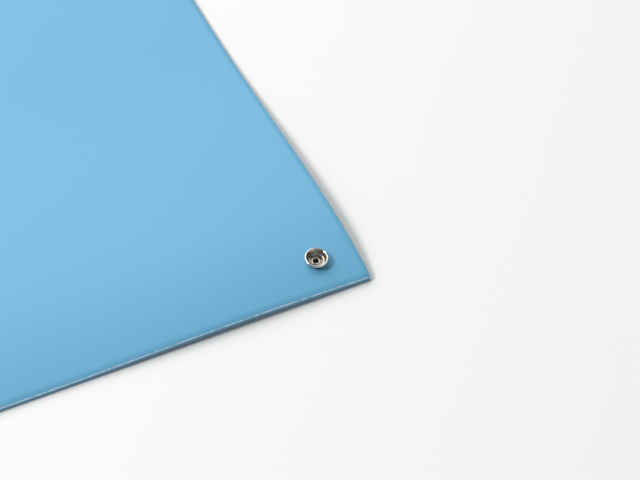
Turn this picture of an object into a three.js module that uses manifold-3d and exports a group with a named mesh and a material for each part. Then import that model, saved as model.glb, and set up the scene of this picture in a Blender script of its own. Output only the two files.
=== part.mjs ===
// Anti static bench mat: one vinyl sheet with a press stud socket riveted in one corner.
// Millimetres, +Z up. X runs across the mat, Y along it, and the socket's end is towards -Y.
import * as THREE from 'three';
import { mergeVertices } from 'three/addons/utils/BufferGeometryUtils.js';
import Module from 'manifold-3d';

// The sheet, as sold for a bench top.
const sheetWidth = 600;
const sheetLength = 1200;
const sheetThickness = 3.5;

// The blade drags the soft top face down beside every cut edge.
const shoulderWidth = 4;
const shoulderDrop = 0.9;
const shoulderSteps = 6;

// The set that the roll left in the near end: it stands on its edge, rises to a crest and lies down again.
const curlHeight = 7.3;
const curlCrestAt = 63;
const curlEndsAt = 230;
const riseSteps = 14;
const easeSteps = 22;

// A low wave in the near edge, centred this far in from the socket's side.
const waveHeight = 2.2;
const waveFromSide = 79;
const waveReach = 125;
const waveSteps = 16;

// The press stud socket, a round bowl whose flat floor is pressed into the sheet.
const studFromSideEdge = 26;
const studFromNearEdge = 20.2;
const seatGap = 0.3;
const metalWall = 0.4;
const pressDepth = 0.9;
const rimOuterRadius = 7;
const rimRollRadius = 0.58;
const cupFloorRadius = 4;
const bowlRadius = 1.7;
const cupShoulderRadius = 6.8;
const cupHeight = 4;
const shoulderBelowRoll = 0.75;
const bowlSteps = 5;
const roundSegments = 48;

// The eyelet that rivets the socket on.
const eyeletBoreRadius = 1.7;
const eyeletWall = 0.4;
const eyeletFlareRadius = 2.75;
const eyeletFlangeRadius = 6;
const eyeletRound = 0.2;

// Values that follow from the ones above.
const eyeletTubeRadius = eyeletBoreRadius + eyeletWall;
const holeRadius = eyeletTubeRadius + seatGap;
const cupBottom = seatGap - pressDepth;
const cupFloor = cupBottom + metalWall;
const bowlOutside = bowlRadius + metalWall;
const throatHeight = cupFloor + bowlRadius;
const bowlAtSheet = cupFloorRadius + Math.sqrt(bowlOutside * bowlOutside - throatHeight * throatHeight);
const dentRadius = bowlAtSheet + seatGap;
const startSlope = 2 * curlHeight / curlCrestAt;
const setback = (sheetThickness - shoulderDrop) * Math.sin(Math.atan(startSlope));

const wasm = await Module();
wasm.setup();

const vinyl = new THREE.MeshStandardMaterial({ color: 0x7ab6da, roughness: 0.55, metalness: 0 });
const nickel = new THREE.MeshStandardMaterial({ color: 0xc4c2bb, roughness: 0.25, metalness: 1 });
const nickelDark = new THREE.MeshStandardMaterial({ color: 0xb4aea2, roughness: 0.3, metalness: 1 });

// Height of the curled sheet's underside at a distance from the near edge.
function curlRise(along) {
  if (along < curlCrestAt) {
    const left = 1 - along / curlCrestAt;
    return curlHeight * (1 - left * left);
  }
  if (along < curlEndsAt) {
    const turn = Math.PI * (along - curlCrestAt) / (curlEndsAt - curlCrestAt);
    return curlHeight * (1 + Math.cos(turn)) / 2;
  }
  return 0;
}

// Slope of the curled sheet at a distance from the near edge.
function curlSlope(along) {
  if (along < curlCrestAt) {
    return startSlope * (1 - along / curlCrestAt);
  }
  if (along < curlEndsAt) {
    const span = curlEndsAt - curlCrestAt;
    return -curlHeight * Math.PI * Math.sin(Math.PI * (along - curlCrestAt) / span) / (2 * span);
  }
  return 0;
}

// Lift of the wave at a place on the sheet.
function waveLift(x, along) {
  const away = Math.hypot(sheetWidth / 2 - waveFromSide - x, along);
  const share = Math.max(0, 1 - away / waveReach);
  return waveHeight * share * share * (3 - 2 * share);
}

// How far the top face has sunk at a distance from a cut edge.
function shoulderSink(fromEdge) {
  const left = Math.max(0, 1 - fromEdge / shoulderWidth);
  return shoulderDrop * left * left;
}

// A point in the sheet: its place across, its distance along the curl, and its height above the
// underside measured square to the sheet.
function sheetPoint(x, along, above) {
  const tilt = Math.atan(curlSlope(along));
  const y = along + setback - above * Math.sin(tilt) - sheetLength / 2;
  const z = curlRise(along) + waveLift(x, along) + above * Math.cos(tilt);
  return new THREE.Vector3(x, y, z);
}

function toManifold(source) {
  const bare = source.clone();
  bare.deleteAttribute('normal');
  bare.deleteAttribute('uv');
  const merged = mergeVertices(bare, 1e-4);
  return new wasm.Manifold(new wasm.Mesh({
    numProp: 3,
    vertProperties: new Float32Array(merged.attributes.position.array),
    triVerts: new Uint32Array(merged.index.array),
  }));
}

function fromManifold(solid) {
  const mesh = solid.getMesh();
  const geometry = new THREE.BufferGeometry();
  geometry.setAttribute('position', new THREE.BufferAttribute(new Float32Array(mesh.vertProperties), 3));
  geometry.setIndex(new THREE.BufferAttribute(new Uint32Array(mesh.triVerts), 1));
  geometry.computeVertexNormals();
  return geometry;
}

// Where the sheet's lines run: close together on the shoulders, the curl and the wave, far apart
// where it lies flat.
function addStations(list, from, to, steps) {
  for (let step = 1; step <= steps; step += 1) {
    list.push(from + (to - from) * step / steps);
  }
}
const sheetEnd = sheetLength - setback;
const rows = [0];
addStations(rows, 0, shoulderWidth, shoulderSteps);
addStations(rows, shoulderWidth, curlCrestAt, riseSteps);
addStations(rows, curlCrestAt, curlEndsAt, easeSteps);
addStations(rows, curlEndsAt, sheetEnd - shoulderWidth, 1);
addStations(rows, sheetEnd - shoulderWidth, sheetEnd, shoulderSteps);

const side = sheetWidth / 2;
const columns = [-side];
addStations(columns, -side, shoulderWidth - side, shoulderSteps);
addStations(columns, shoulderWidth - side, side - waveFromSide - waveReach, 1);
addStations(columns, side - waveFromSide - waveReach, side - shoulderWidth, waveSteps);
addStations(columns, side - shoulderWidth, side, shoulderSteps);

// The sheet: a box with a line at every station, each point moved to its place in the sheet.
const sheetBody = new THREE.BoxGeometry(1, 1, 1, columns.length - 1, rows.length - 1, 1);
const corners = sheetBody.attributes.position;
for (let index = 0; index < corners.count; index += 1) {
  const x = columns[Math.round((corners.getX(index) + 0.5) * (columns.length - 1))];
  const along = rows[Math.round((corners.getY(index) + 0.5) * (rows.length - 1))];
  const sink = shoulderSink(side - Math.abs(x)) + shoulderSink(Math.min(along, sheetEnd - along));
  const above = corners.getZ(index) > 0 ? sheetThickness - sink : 0;
  const place = sheetPoint(x, along, above);
  corners.setXYZ(index, place.x, place.y, place.z);
}

// The stud's own frame: its origin on the sheet's top face, its axis square to the sheet there.
const studX = side - studFromSideEdge;
const slopeStep = 0.1;
const studSpot = sheetPoint(studX, studFromNearEdge, sheetThickness);
const studSide = sheetPoint(studX + slopeStep, studFromNearEdge, sheetThickness);
const studFar = sheetPoint(studX, studFromNearEdge + slopeStep, sheetThickness);
const studAcross = studSide.sub(studSpot).normalize();
const studAxis = studFar.sub(studSpot).cross(studAcross).negate().normalize();
const studAlong = studAxis.clone().cross(studAcross);
const studFrame = new THREE.Matrix4().makeBasis(studAcross, studAlong, studAxis);
studFrame.setPosition(studSpot.x, studSpot.y, studSpot.z);

// A round cutter on the stud's axis, between two heights.
function roundCutter(radius, low, high) {
  const cutter = new THREE.CylinderGeometry(radius, radius, high - low, roundSegments);
  cutter.rotateX(Math.PI / 2);
  cutter.translate(0, 0, (low + high) / 2);
  cutter.applyMatrix4(studFrame);
  return toManifold(cutter);
}

// The hole punched for the eyelet, and the dent that the clinched cup presses into the soft sheet.
const punch = roundCutter(holeRadius, -2 * sheetThickness, sheetThickness);
const dent = roundCutter(dentRadius, -pressDepth, sheetThickness);
const punched = toManifold(sheetBody).subtract(punch).subtract(dent);
const matSheet = new THREE.Mesh(fromManifold(punched), vinyl);
matSheet.name = 'mat_sheet';

// Turns a closed profile of [radius, height] points about the stud's axis.
function turned(points) {
  const profile = points.map((point) => new THREE.Vector2(point[0], point[1]));
  profile.push(profile[0].clone());
  const geometry = new THREE.LatheGeometry(profile, roundSegments);
  geometry.rotateX(Math.PI / 2);
  geometry.applyMatrix4(studFrame);
  return geometry;
}

// Rounds the cup's floor up to its throat, on one side of the metal.
function bowlArc(radius) {
  const points = [];
  for (let step = 0; step <= bowlSteps; step += 1) {
    const turn = step * Math.PI / 2 / bowlSteps;
    points.push([cupFloorRadius + radius * Math.sin(turn), throatHeight - radius * Math.cos(turn)]);
  }
  return points;
}

// The socket: a pressed cup. Its floor turns up in a round bowl, flares to the shoulder and rolls
// over into a round rim, so that the lip overhangs the inside where the mating stud snaps in.
const rollCentreRadius = rimOuterRadius - rimRollRadius;
const rollCentreHeight = cupHeight - rimRollRadius;
const shoulderHeight = rollCentreHeight - shoulderBelowRoll;
const socketProfile = [
  [holeRadius, cupBottom],
  ...bowlArc(bowlOutside),
  [cupShoulderRadius, shoulderHeight],
];
for (let step = -3; step <= 10; step += 1) {
  const turn = step * Math.PI / 8;
  socketProfile.push([
    rollCentreRadius + rimRollRadius * Math.cos(turn),
    rollCentreHeight + rimRollRadius * Math.sin(turn),
  ]);
}
socketProfile.push(
  [cupShoulderRadius - metalWall, shoulderHeight],
  ...bowlArc(bowlRadius).reverse(),
  [eyeletFlareRadius + seatGap, cupFloor],
  [holeRadius, cupFloor],
);
const snapSocket = new THREE.Mesh(turned(socketProfile), nickel);
snapSocket.name = 'snap_socket';

// The eyelet: flange under the sheet, tube through sheet and cup floor, top flared over the cup floor.
const flangeTop = -sheetThickness - seatGap;
const flareUnder = cupFloor + seatGap;
const flareTop = flareUnder + eyeletWall;
const eyeletProfile = [
  [eyeletBoreRadius, flangeTop - eyeletWall + eyeletRound],
  [eyeletBoreRadius + eyeletRound, flangeTop - eyeletWall],
  [eyeletFlangeRadius - eyeletRound, flangeTop - eyeletWall],
  [eyeletFlangeRadius, flangeTop - eyeletWall / 2],
  [eyeletFlangeRadius - eyeletRound, flangeTop],
  [eyeletTubeRadius, flangeTop],
  [eyeletTubeRadius, flareUnder],
  [eyeletFlareRadius - eyeletRound / 2, flareUnder],
  [eyeletFlareRadius, flareUnder + eyeletRound / 2],
  [eyeletFlareRadius - eyeletRound / 2, flareTop - eyeletRound / 2],
  [eyeletTubeRadius + eyeletRound, flareTop],
  [eyeletBoreRadius + eyeletRound, flareTop],
  [eyeletBoreRadius, flareTop - eyeletRound],
];
const snapEyelet = new THREE.Mesh(turned(eyeletProfile), nickelDark);
snapEyelet.name = 'snap_eyelet';

const mat = new THREE.Group();
mat.name = 'anti_static_bench_mat';
mat.add(matSheet, snapSocket, snapEyelet);
export default mat;
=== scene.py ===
# Anti static bench mat: a blue vinyl sheet with a press stud socket riveted near one corner.
import math

import bmesh
import bpy
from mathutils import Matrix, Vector


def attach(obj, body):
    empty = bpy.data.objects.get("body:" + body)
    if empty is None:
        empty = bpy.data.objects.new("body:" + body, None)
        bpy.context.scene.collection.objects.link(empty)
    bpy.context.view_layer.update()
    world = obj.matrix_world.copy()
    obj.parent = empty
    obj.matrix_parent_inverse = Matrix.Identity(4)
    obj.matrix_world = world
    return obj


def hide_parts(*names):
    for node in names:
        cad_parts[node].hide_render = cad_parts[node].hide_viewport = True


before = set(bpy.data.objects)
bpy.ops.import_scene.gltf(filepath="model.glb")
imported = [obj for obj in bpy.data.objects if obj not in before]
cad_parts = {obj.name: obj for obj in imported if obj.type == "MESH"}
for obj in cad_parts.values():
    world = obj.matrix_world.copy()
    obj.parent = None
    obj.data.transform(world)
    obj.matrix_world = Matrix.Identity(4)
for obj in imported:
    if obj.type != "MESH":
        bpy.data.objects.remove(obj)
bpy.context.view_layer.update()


# The camera stands above the near end of the mat and looks down across its riveted corner.
# It holds no roll, and its lens is long, so the cut edges stay nearly parallel.
camera_direction = math.radians(-24.97)
camera_pitch = math.radians(47.78)
camera_data = bpy.data.cameras.new("camera")
camera_data.lens = 106.9
camera_data.sensor_width = 36.0
camera_data.clip_start = 0.05
camera_data.clip_end = 60.0
camera = bpy.data.objects.new("camera", camera_data)
camera.location = (-0.0344, -1.2474, 0.8373)
camera.rotation_euler = (math.pi / 2 - camera_pitch, 0.0, camera_direction)
bpy.context.scene.collection.objects.link(camera)
bpy.context.scene.camera = camera


# The sheet: calendered blue static dissipative vinyl, cut from the roll with a blade.
# The blade has dragged its soft top face down along the cut edges, and the roll has left a
# low curl and a slight wave in the end with the socket, whose cut face stands plumb.
sheet_width = 0.600
sheet_length = 1.200
sheet_thickness = 0.0035
shoulder_width = 0.004
shoulder_drop = 0.0009
shoulder_steps = 8
curl_height = 0.0073
curl_crest = 0.063
curl_end = 0.230
wave_height = 0.0022
wave_from_side = 0.079
wave_reach = 0.125
columns = 44
crest_rows = 18
fall_rows = 28
flat_rows = 20
arris_rounding = 0.0004
arris_steps = 3
arris_angle = math.radians(42)
facing_down = -0.5
near = 1e-5
stud_from_side = 0.026
stud_from_end = 0.0202
start_slope = 2 * curl_height / curl_crest
setback = (sheet_thickness - shoulder_drop) * math.sin(math.atan(start_slope))
sheet_end = sheet_length - setback


def curl_rise(along):
    """Height of the curled sheet's underside, this far along from the end with the socket."""
    if along < curl_crest:
        return curl_height * (1 - (1 - along / curl_crest) ** 2)
    if along < curl_end:
        turn = math.pi * (along - curl_crest) / (curl_end - curl_crest)
        return curl_height * (1 + math.cos(turn)) / 2
    return 0.0


def curl_slope(along):
    """Slope of the curl at the same place."""
    if along < curl_crest:
        return start_slope * (1 - along / curl_crest)
    if along < curl_end:
        span = curl_end - curl_crest
        return -curl_height * math.pi * math.sin(math.pi * (along - curl_crest) / span) / (2 * span)
    return 0.0


def wave_lift(across, along):
    """Height that the wave adds, which fades over wave_reach as the smooth falloff does."""
    away = math.hypot(sheet_width / 2 - wave_from_side - across, along)
    share = max(0.0, 1 - away / wave_reach)
    return wave_height * share * share * (3 - 2 * share)


def top_point(across, along):
    """The point of the sheet's top face at this place of its underside."""
    lean = math.atan(curl_slope(along))
    return Vector((across, along + setback - sheet_thickness * math.sin(lean) - sheet_length / 2,
                   curl_rise(along) + wave_lift(across, along) + sheet_thickness * math.cos(lean)))


def evenly(start, stop, steps):
    """Evenly spaced places from start to stop, without start itself."""
    return [start + (stop - start) * step / steps for step in range(1, steps + 1)]


def select_where(piece, wanted):
    """Selects the points of the piece being edited for which wanted(point) is true."""
    points = bmesh.from_edit_mesh(piece.data)
    for face in points.faces:
        face.select = False
    for edge in points.edges:
        edge.select = False
    for point in points.verts:
        point.select = wanted(point)
    points.select_flush_mode()
    bmesh.update_edit_mesh(piece.data)


def turn_selected(angle, axis, centre):
    """Turns what is selected by the right hand rule, for which this operator needs a minus sign."""
    bpy.ops.transform.rotate(value=-angle, orient_axis=axis, orient_type='GLOBAL', center_override=centre)


bpy.ops.object.select_all(action='DESELECT')
bpy.context.tool_settings.mesh_select_mode = (True, False, False)
bpy.ops.mesh.primitive_cube_add(size=1.0, location=(0.0, 0.0, 0.0))
sheet = bpy.context.object
sheet.name = "bench_mat_sheet"
bpy.ops.object.mode_set(mode='EDIT')
bpy.ops.mesh.select_all(action='SELECT')
bpy.ops.transform.resize(value=(sheet_width, sheet_end, sheet_thickness))
bpy.ops.transform.translate(value=(0.0, sheet_end / 2, sheet_thickness / 2))
shoulder = evenly(0.0, shoulder_width, shoulder_steps)
across = [side * (sheet_width / 2 - inward) for side in (-1, 1) for inward in shoulder]
across += evenly(shoulder_width - sheet_width / 2, sheet_width / 2 - shoulder_width, columns)[:-1]
wave_x = sheet_width / 2 - wave_from_side
across.append(wave_x)
rows = shoulder + evenly(shoulder_width, curl_crest, crest_rows) + evenly(curl_crest, curl_end, fall_rows)
rows += evenly(curl_end, sheet_end - shoulder_width, flat_rows)
rows += [sheet_end - inward for inward in shoulder[:-1]]
for place in across:
    bpy.ops.mesh.select_all(action='SELECT')
    bpy.ops.mesh.bisect(plane_co=(place, 0.0, 0.0), plane_no=(1.0, 0.0, 0.0))
for place in rows:
    bpy.ops.mesh.select_all(action='SELECT')
    bpy.ops.mesh.bisect(plane_co=(0.0, place, 0.0), plane_no=(0.0, 1.0, 0.0))

mid_height = sheet_thickness / 2
for inward in [0.0] + shoulder[:-1]:
    sink = shoulder_drop * (1 - inward / shoulder_width) ** 2
    side = sheet_width / 2 - inward
    far_end = sheet_end - inward
    select_where(sheet, lambda point: point.co.z > mid_height and abs(side - abs(point.co.x)) < near)
    bpy.ops.transform.translate(value=(0.0, 0.0, -sink))
    select_where(sheet, lambda point: point.co.z > mid_height and abs(point.co.y - inward) < near)
    bpy.ops.transform.translate(value=(0.0, 0.0, -sink))
    select_where(sheet, lambda point: point.co.z > mid_height and abs(far_end - point.co.y) < near)
    bpy.ops.transform.translate(value=(0.0, 0.0, -sink))

curled = sorted(place for place in [0.0] + rows if place < curl_end - near)
points = bmesh.from_edit_mesh(sheet.data)
points.verts.ensure_lookup_table()
lines = [{point.index for point in points.verts if abs(point.co.y - place) < near} for place in curled]
for place, line in zip(curled, lines):
    select_where(sheet, lambda point: point.index in line)
    turn_selected(math.atan(curl_slope(place)), 'X', (0.0, place, 0.0))
    bpy.ops.transform.translate(value=(0.0, 0.0, curl_rise(place)))
select_where(sheet, lambda point: point.index in lines[0] and abs(point.co.y) < near)
bpy.ops.transform.translate(value=(0.0, -setback, 0.0))
bpy.ops.mesh.select_all(action='SELECT')
bpy.ops.transform.translate(value=(0.0, setback - sheet_length / 2, 0.0))

select_where(sheet, lambda point: abs(point.co.x - wave_x) < near
             and point.co.y < setback + near - sheet_length / 2)
bpy.ops.transform.translate(value=(0.0, 0.0, wave_height), use_proportional_edit=True,
                            proportional_edit_falloff='SMOOTH', proportional_size=wave_reach)

bpy.context.tool_settings.mesh_select_mode = (False, True, False)
bpy.ops.mesh.select_all(action='DESELECT')
bpy.ops.mesh.edges_select_sharp(sharpness=arris_angle)
points = bmesh.from_edit_mesh(sheet.data)
for edge in points.edges:
    if min(face.normal.z for face in edge.link_faces) < facing_down:
        edge.select = False
bmesh.update_edit_mesh(sheet.data)
bpy.ops.mesh.bevel(offset=arris_rounding, segments=arris_steps, affect='EDGES')
bpy.ops.mesh.select_all(action='SELECT')
bpy.ops.mesh.normals_make_consistent(inside=False)
bpy.ops.object.mode_set(mode='OBJECT')

stud_steps = 96
slope_step = 0.0001
stud_across = sheet_width / 2 - stud_from_side
stud_centre = top_point(stud_across, stud_from_end)
stud_axis = (top_point(stud_across + slope_step, stud_from_end) - stud_centre).cross(
    top_point(stud_across, stud_from_end + slope_step) - stud_centre).normalized()
stud_lean = -math.asin(stud_axis.y)
stud_tip = math.atan2(stud_axis.x, stud_axis.z)
seat_gap = 0.0003
press_depth = 0.0009
floor_hole_radius = 0.0024
cup_wall = 0.0004
cup_floor_radius = 0.0040
bowl_radius = 0.0017
cup_bottom = seat_gap - press_depth
cup_floor = cup_bottom + cup_wall
throat_height = cup_floor + bowl_radius
bowl_at_sheet = cup_floor_radius + math.sqrt((bowl_radius + cup_wall) ** 2 - throat_height ** 2)


def set_on_axis():
    """Turns what is selected from upright to the stud's axis and takes it to the stud's place."""
    turn_selected(stud_lean, 'X', (0.0, 0.0, 0.0))
    turn_selected(stud_tip, 'Y', (0.0, 0.0, 0.0))
    bpy.ops.transform.translate(value=stud_centre)


def cut_round(radius, low, high):
    """Cuts a round hole or dent into the sheet, square to it at the stud."""
    bpy.ops.object.select_all(action='DESELECT')
    bpy.ops.mesh.primitive_cylinder_add(vertices=stud_steps, radius=radius, depth=high - low,
                                        location=(0.0, 0.0, (low + high) / 2))
    cutter = bpy.context.object
    bpy.ops.object.mode_set(mode='EDIT')
    bpy.ops.mesh.select_all(action='SELECT')
    set_on_axis()
    bpy.ops.object.mode_set(mode='OBJECT')
    bpy.ops.object.select_all(action='DESELECT')
    sheet.select_set(True)
    bpy.context.view_layer.objects.active = sheet
    cut = sheet.modifiers.new("cut", 'BOOLEAN')
    cut.operation = 'DIFFERENCE'
    cut.solver = 'EXACT'
    cut.object = cutter
    bpy.ops.object.modifier_apply(modifier=cut.name)
    bpy.data.objects.remove(cutter)


snug = 0.00003
cut_round(floor_hole_radius, -2 * sheet_thickness, sheet_thickness)
cut_round(bowl_at_sheet + snug, cup_bottom - snug, sheet_thickness)
bpy.ops.object.shade_smooth_by_angle(angle=math.radians(32))

vinyl = bpy.data.materials.new("blue vinyl")
vinyl.use_nodes = True
nodes = vinyl.node_tree.nodes
links = vinyl.node_tree.links
shader = nodes["Principled BSDF"]
shader.inputs["Specular IOR Level"].default_value = 0.3
place = nodes.new("ShaderNodeTexCoord")
tone = nodes.new("ShaderNodeTexNoise")
tone.inputs["Scale"].default_value = 7.0
tone.inputs["Detail"].default_value = 3.0
colour = nodes.new("ShaderNodeMix")
colour.data_type = 'RGBA'
colour.inputs["A"].default_value = (0.131, 0.379, 0.596, 1.0)
colour.inputs["B"].default_value = (0.139, 0.393, 0.612, 1.0)
links.new(place.outputs["Object"], tone.inputs["Vector"])
links.new(tone.outputs["Fac"], colour.inputs["Factor"])
links.new(colour.outputs["Result"], shader.inputs["Base Color"])
gloss = nodes.new("ShaderNodeMapRange")
gloss.inputs["To Min"].default_value = 0.40
gloss.inputs["To Max"].default_value = 0.50
links.new(tone.outputs["Fac"], gloss.inputs["Value"])
links.new(gloss.outputs["Result"], shader.inputs["Roughness"])
grain = nodes.new("ShaderNodeTexNoise")
grain.inputs["Scale"].default_value = 900.0
grain.inputs["Detail"].default_value = 2.0
links.new(place.outputs["Object"], grain.inputs["Vector"])
bump = nodes.new("ShaderNodeBump")
bump.inputs["Strength"].default_value = 0.06
bump.inputs["Distance"].default_value = 0.0002
links.new(grain.outputs["Fac"], bump.inputs["Height"])
links.new(bump.outputs["Normal"], shader.inputs["Normal"])

cut_vinyl = bpy.data.materials.new("cut vinyl face")
cut_vinyl.use_nodes = True
nodes = cut_vinyl.node_tree.nodes
links = cut_vinyl.node_tree.links
shader = nodes["Principled BSDF"]
shader.inputs["Roughness"].default_value = 0.6
place = nodes.new("ShaderNodeTexCoord")
drag = nodes.new("ShaderNodeMapping")
drag.inputs["Scale"].default_value = (1.0, 1.0, 0.25)
marks = nodes.new("ShaderNodeTexNoise")
marks.inputs["Scale"].default_value = 900.0
marks.inputs["Detail"].default_value = 3.0
colour = nodes.new("ShaderNodeMix")
colour.data_type = 'RGBA'
colour.inputs["A"].default_value = (0.095, 0.270, 0.430, 1.0)
colour.inputs["B"].default_value = (0.150, 0.350, 0.520, 1.0)
links.new(place.outputs["Object"], drag.inputs["Vector"])
links.new(drag.outputs["Vector"], marks.inputs["Vector"])
links.new(marks.outputs["Fac"], colour.inputs["Factor"])
links.new(colour.outputs["Result"], shader.inputs["Base Color"])
bump = nodes.new("ShaderNodeBump")
bump.inputs["Strength"].default_value = 0.3
bump.inputs["Distance"].default_value = 0.0002
links.new(marks.outputs["Fac"], bump.inputs["Height"])
links.new(bump.outputs["Normal"], shader.inputs["Normal"])

# The arris strips carry a painted highlight: a pale, broken line along the cut edges. It is full strength
# at the two ends of the sheet and a quarter as strong on its sides, standing in for the light caught by
# the rounded arris.
arris_highlight_paint = bpy.data.materials.new("vinyl arris with painted highlight")
arris_highlight_paint.use_nodes = True
nodes = arris_highlight_paint.node_tree.nodes
links = arris_highlight_paint.node_tree.links
shader = nodes["Principled BSDF"]
shader.inputs["Roughness"].default_value = 0.5
shader.inputs["Specular IOR Level"].default_value = 0.3
place = nodes.new("ShaderNodeTexCoord")
dashes = nodes.new("ShaderNodeTexNoise")
dashes.inputs["Scale"].default_value = 330.0
dashes.inputs["Detail"].default_value = 3.0
dashes.inputs["Roughness"].default_value = 0.65
contrast = nodes.new("ShaderNodeMapRange")
contrast.inputs["From Min"].default_value = 0.28
contrast.inputs["From Max"].default_value = 0.56
colour = nodes.new("ShaderNodeMix")
colour.data_type = 'RGBA'
colour.inputs["A"].default_value = (0.16, 0.44, 0.66, 1.0)
colour.inputs["B"].default_value = (0.66, 0.88, 1.00, 1.0)
split = nodes.new("ShaderNodeSeparateXYZ")
from_middle = nodes.new("ShaderNodeMath")
from_middle.operation = 'ABSOLUTE'
highlight_at_ends = nodes.new("ShaderNodeMapRange")
highlight_at_ends.inputs["From Min"].default_value = sheet_length / 2 - 0.003
highlight_at_ends.inputs["From Max"].default_value = sheet_length / 2 - 0.001
highlight_at_ends.inputs["To Min"].default_value = 0.25
highlight_share = nodes.new("ShaderNodeMath")
highlight_share.operation = 'MULTIPLY'
links.new(place.outputs["Object"], dashes.inputs["Vector"])
links.new(dashes.outputs["Fac"], contrast.inputs["Value"])
links.new(place.outputs["Object"], split.inputs["Vector"])
links.new(split.outputs["Y"], from_middle.inputs[0])
links.new(from_middle.outputs["Value"], highlight_at_ends.inputs["Value"])
links.new(contrast.outputs["Result"], highlight_share.inputs[0])
links.new(highlight_at_ends.outputs["Result"], highlight_share.inputs[1])
links.new(highlight_share.outputs["Value"], colour.inputs["Factor"])
links.new(colour.outputs["Result"], shader.inputs["Base Color"])

for paint in (vinyl, cut_vinyl, arris_highlight_paint):
    sheet.data.materials.append(paint)
# The rounded arris faces take the material with the painted highlight; the top and the cut faces keep
# their own.
arris_starts = 0.77
cut_starts = 0.08
stud_surround = 0.008
for face in sheet.data.polygons:
    by_stud = (face.center - stud_centre).length < stud_surround
    if by_stud or abs(face.normal.z) > arris_starts:
        face.material_index = 0
    elif face.normal.z > cut_starts:
        face.material_index = 2
    else:
        face.material_index = 1
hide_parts("mat_sheet")
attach(sheet, "root")


# The press stud socket: a cup pressed from thin brass and nickel plated, its rim rolled over.
# It stands square to the curled sheet, its floor pressed into the vinyl by the eyelet's flare.


def turned_piece(name, section, steps):
    """Draws a closed section of (radius, height) points and spins it about the stud's axis."""
    bpy.ops.object.select_all(action='DESELECT')
    bpy.context.tool_settings.mesh_select_mode = (True, False, False)
    bpy.ops.mesh.primitive_plane_add(size=0.001, location=(0.0, 0.0, 0.0))
    piece = bpy.context.object
    piece.name = name
    bpy.ops.object.mode_set(mode='EDIT')
    bpy.ops.mesh.select_all(action='SELECT')
    bpy.ops.mesh.merge(type='CENTER')
    bpy.ops.transform.translate(value=(section[0][0], 0.0, section[0][1]))
    for before, after in zip(section, section[1:]):
        step = (after[0] - before[0], 0.0, after[1] - before[1])
        bpy.ops.mesh.extrude_region_move(TRANSFORM_OT_translate={"value": step})
    bpy.ops.mesh.select_all(action='SELECT')
    bpy.ops.mesh.spin(steps=steps, angle=2 * math.pi, center=(0.0, 0.0, 0.0), axis=(0.0, 0.0, 1.0))
    bpy.ops.mesh.select_all(action='SELECT')
    bpy.ops.mesh.remove_doubles(threshold=1e-6)
    bpy.ops.mesh.normals_make_consistent(inside=False)
    set_on_axis()
    bpy.ops.object.mode_set(mode='OBJECT')
    bpy.ops.object.shade_smooth_by_angle(angle=math.radians(40))
    return piece


def bowl_arc(radius):
    """The quarter round from the cup's floor up to its wall, for its inner or outer face."""
    turns = [step * math.pi / 2 / bowl_steps for step in range(bowl_steps + 1)]
    return [(cup_floor_radius + radius * math.sin(turn), throat_height - radius * math.cos(turn))
            for turn in turns]


rim_radius = 0.0070
roll_radius = 0.00058
cup_height = 0.0040
shoulder_radius = 0.0068
roll_drop = 0.00075
roll_first_step = -6
roll_last_step = 20
roll_half_turn_steps = 16
bowl_steps = 14
roll_centre = (rim_radius - roll_radius, cup_height - roll_radius)
shoulder_height = roll_centre[1] - roll_drop
inside = shoulder_radius - cup_wall
section = [(floor_hole_radius, cup_bottom)] + bowl_arc(bowl_radius + cup_wall)
section += [
    (shoulder_radius - 0.00032, shoulder_height - 0.00040),
    (shoulder_radius - 0.00010, shoulder_height - 0.00018),
    (shoulder_radius, shoulder_height),
]
for step in range(roll_first_step, roll_last_step + 1):
    turn = step * math.pi / roll_half_turn_steps
    section.append((roll_centre[0] + roll_radius * math.cos(turn),
                    roll_centre[1] + roll_radius * math.sin(turn)))
section += [
    (inside, shoulder_height),
    (inside - 0.00010, shoulder_height - 0.00022),
    (inside - 0.00030, shoulder_height - 0.00052),
]
section += reversed(bowl_arc(bowl_radius))
section += [(floor_hole_radius, cup_floor), (floor_hole_radius, cup_bottom)]
socket = turned_piece("snap_socket_cup", section, stud_steps)


def stud_place(nodes, links):
    """Gives the point being shaded in the stud's own upright frame."""
    place = nodes.new("ShaderNodeTexCoord")
    upright = nodes.new("ShaderNodeMapping")
    upright.vector_type = 'TEXTURE'
    upright.inputs["Location"].default_value = stud_centre
    upright.inputs["Rotation"].default_value = (stud_lean, stud_tip, 0.0)
    links.new(place.outputs["Object"], upright.inputs["Vector"])
    return upright.outputs["Vector"]


nickel = bpy.data.materials.new("nickel plate")
nickel.use_nodes = True
nodes = nickel.node_tree.nodes
links = nickel.node_tree.links
shader = nodes["Principled BSDF"]
shader.inputs["Metallic"].default_value = 1.0
spot = stud_place(nodes, links)
# Below the rolled rim the cup is darkened with noisy patches, partly tarnish and partly painted shade for
# the dark inside of the cup under its lip. The rim above stays bright and glossy.
height = nodes.new("ShaderNodeSeparateXYZ")
rim_share = nodes.new("ShaderNodeMapRange")
rim_share.interpolation_type = 'SMOOTHSTEP'
rim_share.inputs["From Min"].default_value = 0.0025
rim_share.inputs["From Max"].default_value = 0.0030
stain = nodes.new("ShaderNodeTexNoise")
stain.inputs["Scale"].default_value = 190.0
stain.inputs["Detail"].default_value = 2.0
patches = nodes.new("ShaderNodeMapRange")
patches.inputs["From Min"].default_value = 0.38
patches.inputs["From Max"].default_value = 0.62
tarnish_and_shade = nodes.new("ShaderNodeMix")
tarnish_and_shade.data_type = 'RGBA'
tarnish_and_shade.inputs["A"].default_value = (0.10, 0.085, 0.065, 1.0)
tarnish_and_shade.inputs["B"].default_value = (0.54, 0.51, 0.45, 1.0)
colour = nodes.new("ShaderNodeMix")
colour.data_type = 'RGBA'
colour.inputs["B"].default_value = (0.70, 0.70, 0.69, 1.0)
gloss = nodes.new("ShaderNodeMapRange")
gloss.inputs["To Min"].default_value = 0.30
gloss.inputs["To Max"].default_value = 0.14
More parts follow.
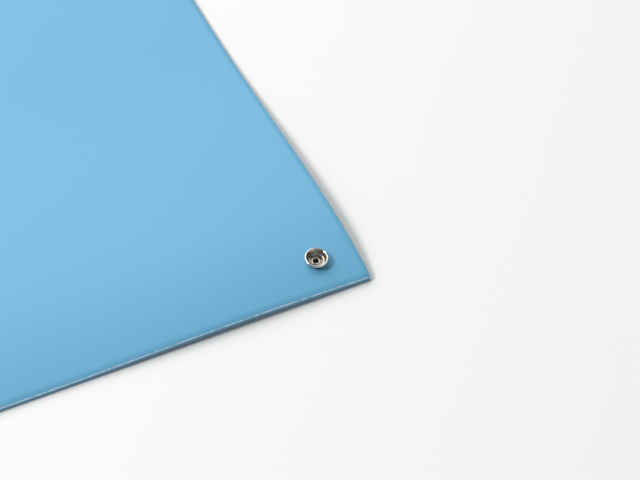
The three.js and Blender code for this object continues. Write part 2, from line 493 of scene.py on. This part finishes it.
links.new(spot, height.inputs["Vector"])
links.new(height.outputs["Z"], rim_share.inputs["Value"])
links.new(spot, stain.inputs["Vector"])
links.new(stain.outputs["Fac"], patches.inputs["Value"])
links.new(patches.outputs["Result"], tarnish_and_shade.inputs["Factor"])
links.new(rim_share.outputs["Result"], colour.inputs["Factor"])
links.new(tarnish_and_shade.outputs["Result"], colour.inputs["A"])
links.new(rim_share.outputs["Result"], gloss.inputs["Value"])
links.new(colour.outputs["Result"], shader.inputs["Base Color"])
links.new(gloss.outputs["Result"], shader.inputs["Roughness"])
socket.data.materials.append(nickel)
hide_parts("snap_socket")
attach(socket, "root")


# The eyelet: a tubular brass rivet, nickel plated. Its flange bears on the sheet's underside,
# its tube goes up through sheet and cup, and its top is flared over the cup's floor.
bore_radius = 0.0017
tube_radius = 0.0021
flange_radius = 0.0060
flange_top = -sheet_thickness - 3 * snug
flare_under = cup_floor + snug
flare_radius = 0.00275
eyelet_steps = 72
section = [
    (bore_radius, flange_top - 0.00015),
    (bore_radius + 0.00008, flange_top - 0.00032),
    (bore_radius + 0.00025, flange_top - 0.0004),
    (flange_radius - 0.0002, flange_top - 0.0004),
    (flange_radius - 0.00006, flange_top - 0.00034),
    (flange_radius, flange_top - 0.0002),
    (flange_radius - 0.00006, flange_top - 0.00006),
    (flange_radius - 0.0002, flange_top),
    (tube_radius, flange_top),
    (tube_radius, flare_under),
    (flare_radius - 0.0001, flare_under),
    (flare_radius - 0.00002, flare_under + 0.00005),
    (flare_radius, flare_under + 0.00012),
    (flare_radius - 0.00003, flare_under + 0.0002),
    (flare_radius - 0.00012, flare_under + 0.00028),
    (flare_radius - 0.0003, flare_under + 0.00036),
    (tube_radius + 0.00015, flare_under + 0.0004),
    (bore_radius + 0.0002, flare_under + 0.00037),
    (bore_radius + 0.00007, flare_under + 0.00028),
    (bore_radius, flare_under + 0.00015),
    (bore_radius, flange_top - 0.00015),
]
eyelet = turned_piece("snap_eyelet_rivet", section, eyelet_steps)
worn_nickel = bpy.data.materials.new("worn nickel plate")
worn_nickel.use_nodes = True
nodes = worn_nickel.node_tree.nodes
links = worn_nickel.node_tree.links
shader = nodes["Principled BSDF"]
shader.inputs["Metallic"].default_value = 1.0
wear = nodes.new("ShaderNodeTexNoise")
wear.inputs["Scale"].default_value = 300.0
wear.inputs["Detail"].default_value = 2.0
colour = nodes.new("ShaderNodeMix")
colour.data_type = 'RGBA'
colour.inputs["A"].default_value = (0.42, 0.38, 0.31, 1.0)
colour.inputs["B"].default_value = (0.72, 0.68, 0.60, 1.0)
gloss = nodes.new("ShaderNodeMapRange")
gloss.inputs["To Min"].default_value = 0.26
gloss.inputs["To Max"].default_value = 0.16
links.new(stud_place(nodes, links), wear.inputs["Vector"])
links.new(wear.outputs["Fac"], colour.inputs["Factor"])
links.new(wear.outputs["Fac"], gloss.inputs["Value"])
links.new(colour.outputs["Result"], shader.inputs["Base Color"])
links.new(gloss.outputs["Result"], shader.inputs["Roughness"])
eyelet.data.materials.append(worn_nickel)
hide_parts("snap_eyelet")
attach(eyelet, "root")


# The floor: a plain pale studio floor.
# It lies a hair below the mat, so that the two faces don't share a plane.
floor_size = 14.0
floor_height = -0.0002
bpy.ops.object.select_all(action='DESELECT')
bpy.ops.mesh.primitive_plane_add(size=floor_size, location=(0.0, 0.0, floor_height))
floor = bpy.context.object
floor.name = "studio_floor"
floor_paint = bpy.data.materials.new("pale floor")
floor_paint.use_nodes = True
shader = floor_paint.node_tree.nodes["Principled BSDF"]
shader.inputs["Base Color"].default_value = (0.80, 0.80, 0.80, 1.0)
shader.inputs["Roughness"].default_value = 0.9
floor.data.materials.append(floor_paint)


# The lights: a soft key from the picture's left and a large box behind and above the mat,
# which gives the stud's rim its long pale reflection. The world gives the rest.


def soft_box(name, towards, distance, size, power, tint):
    """Hangs a rectangular light this far from lit_place in the given direction, facing it."""
    light_data = bpy.data.lights.new(name, 'AREA')
    light_data.shape = 'RECTANGLE'
    light_data.size = size[0]
    light_data.size_y = size[1]
    light_data.energy = power
    light_data.color = tint
    light = bpy.data.objects.new(name, light_data)
    direction = Vector(towards).normalized()
    light.location = lit_place + direction * distance
    light.rotation_euler = direction.to_track_quat('Z', 'Y').to_euler()
    bpy.context.scene.collection.objects.link(light)


lit_place = Vector((0.12, -0.42, 0.0))
key_height = math.radians(49)
soft_box("key_light",
         towards=(-0.993 * math.cos(key_height), 0.120 * math.cos(key_height), math.sin(key_height)),
         distance=4.0, size=(0.8, 1.0), power=84.0, tint=(1.0, 0.985, 0.95))
rear_height = math.radians(46)
soft_box("rear_light",
         towards=(-0.30 * math.cos(rear_height), 0.954 * math.cos(rear_height), math.sin(rear_height)),
         distance=3.3, size=(5.2, 3.1), power=122.0, tint=(1.0, 0.98, 0.94))
world = bpy.data.worlds.new("studio")
world.use_nodes = True
world.node_tree.nodes["Background"].inputs["Color"].default_value = (0.90, 0.97, 1.0, 1.0)
world.node_tree.nodes["Background"].inputs["Strength"].default_value = 0.35
bpy.context.scene.world = world
bpy.context.scene.view_settings.view_transform = 'Standard'
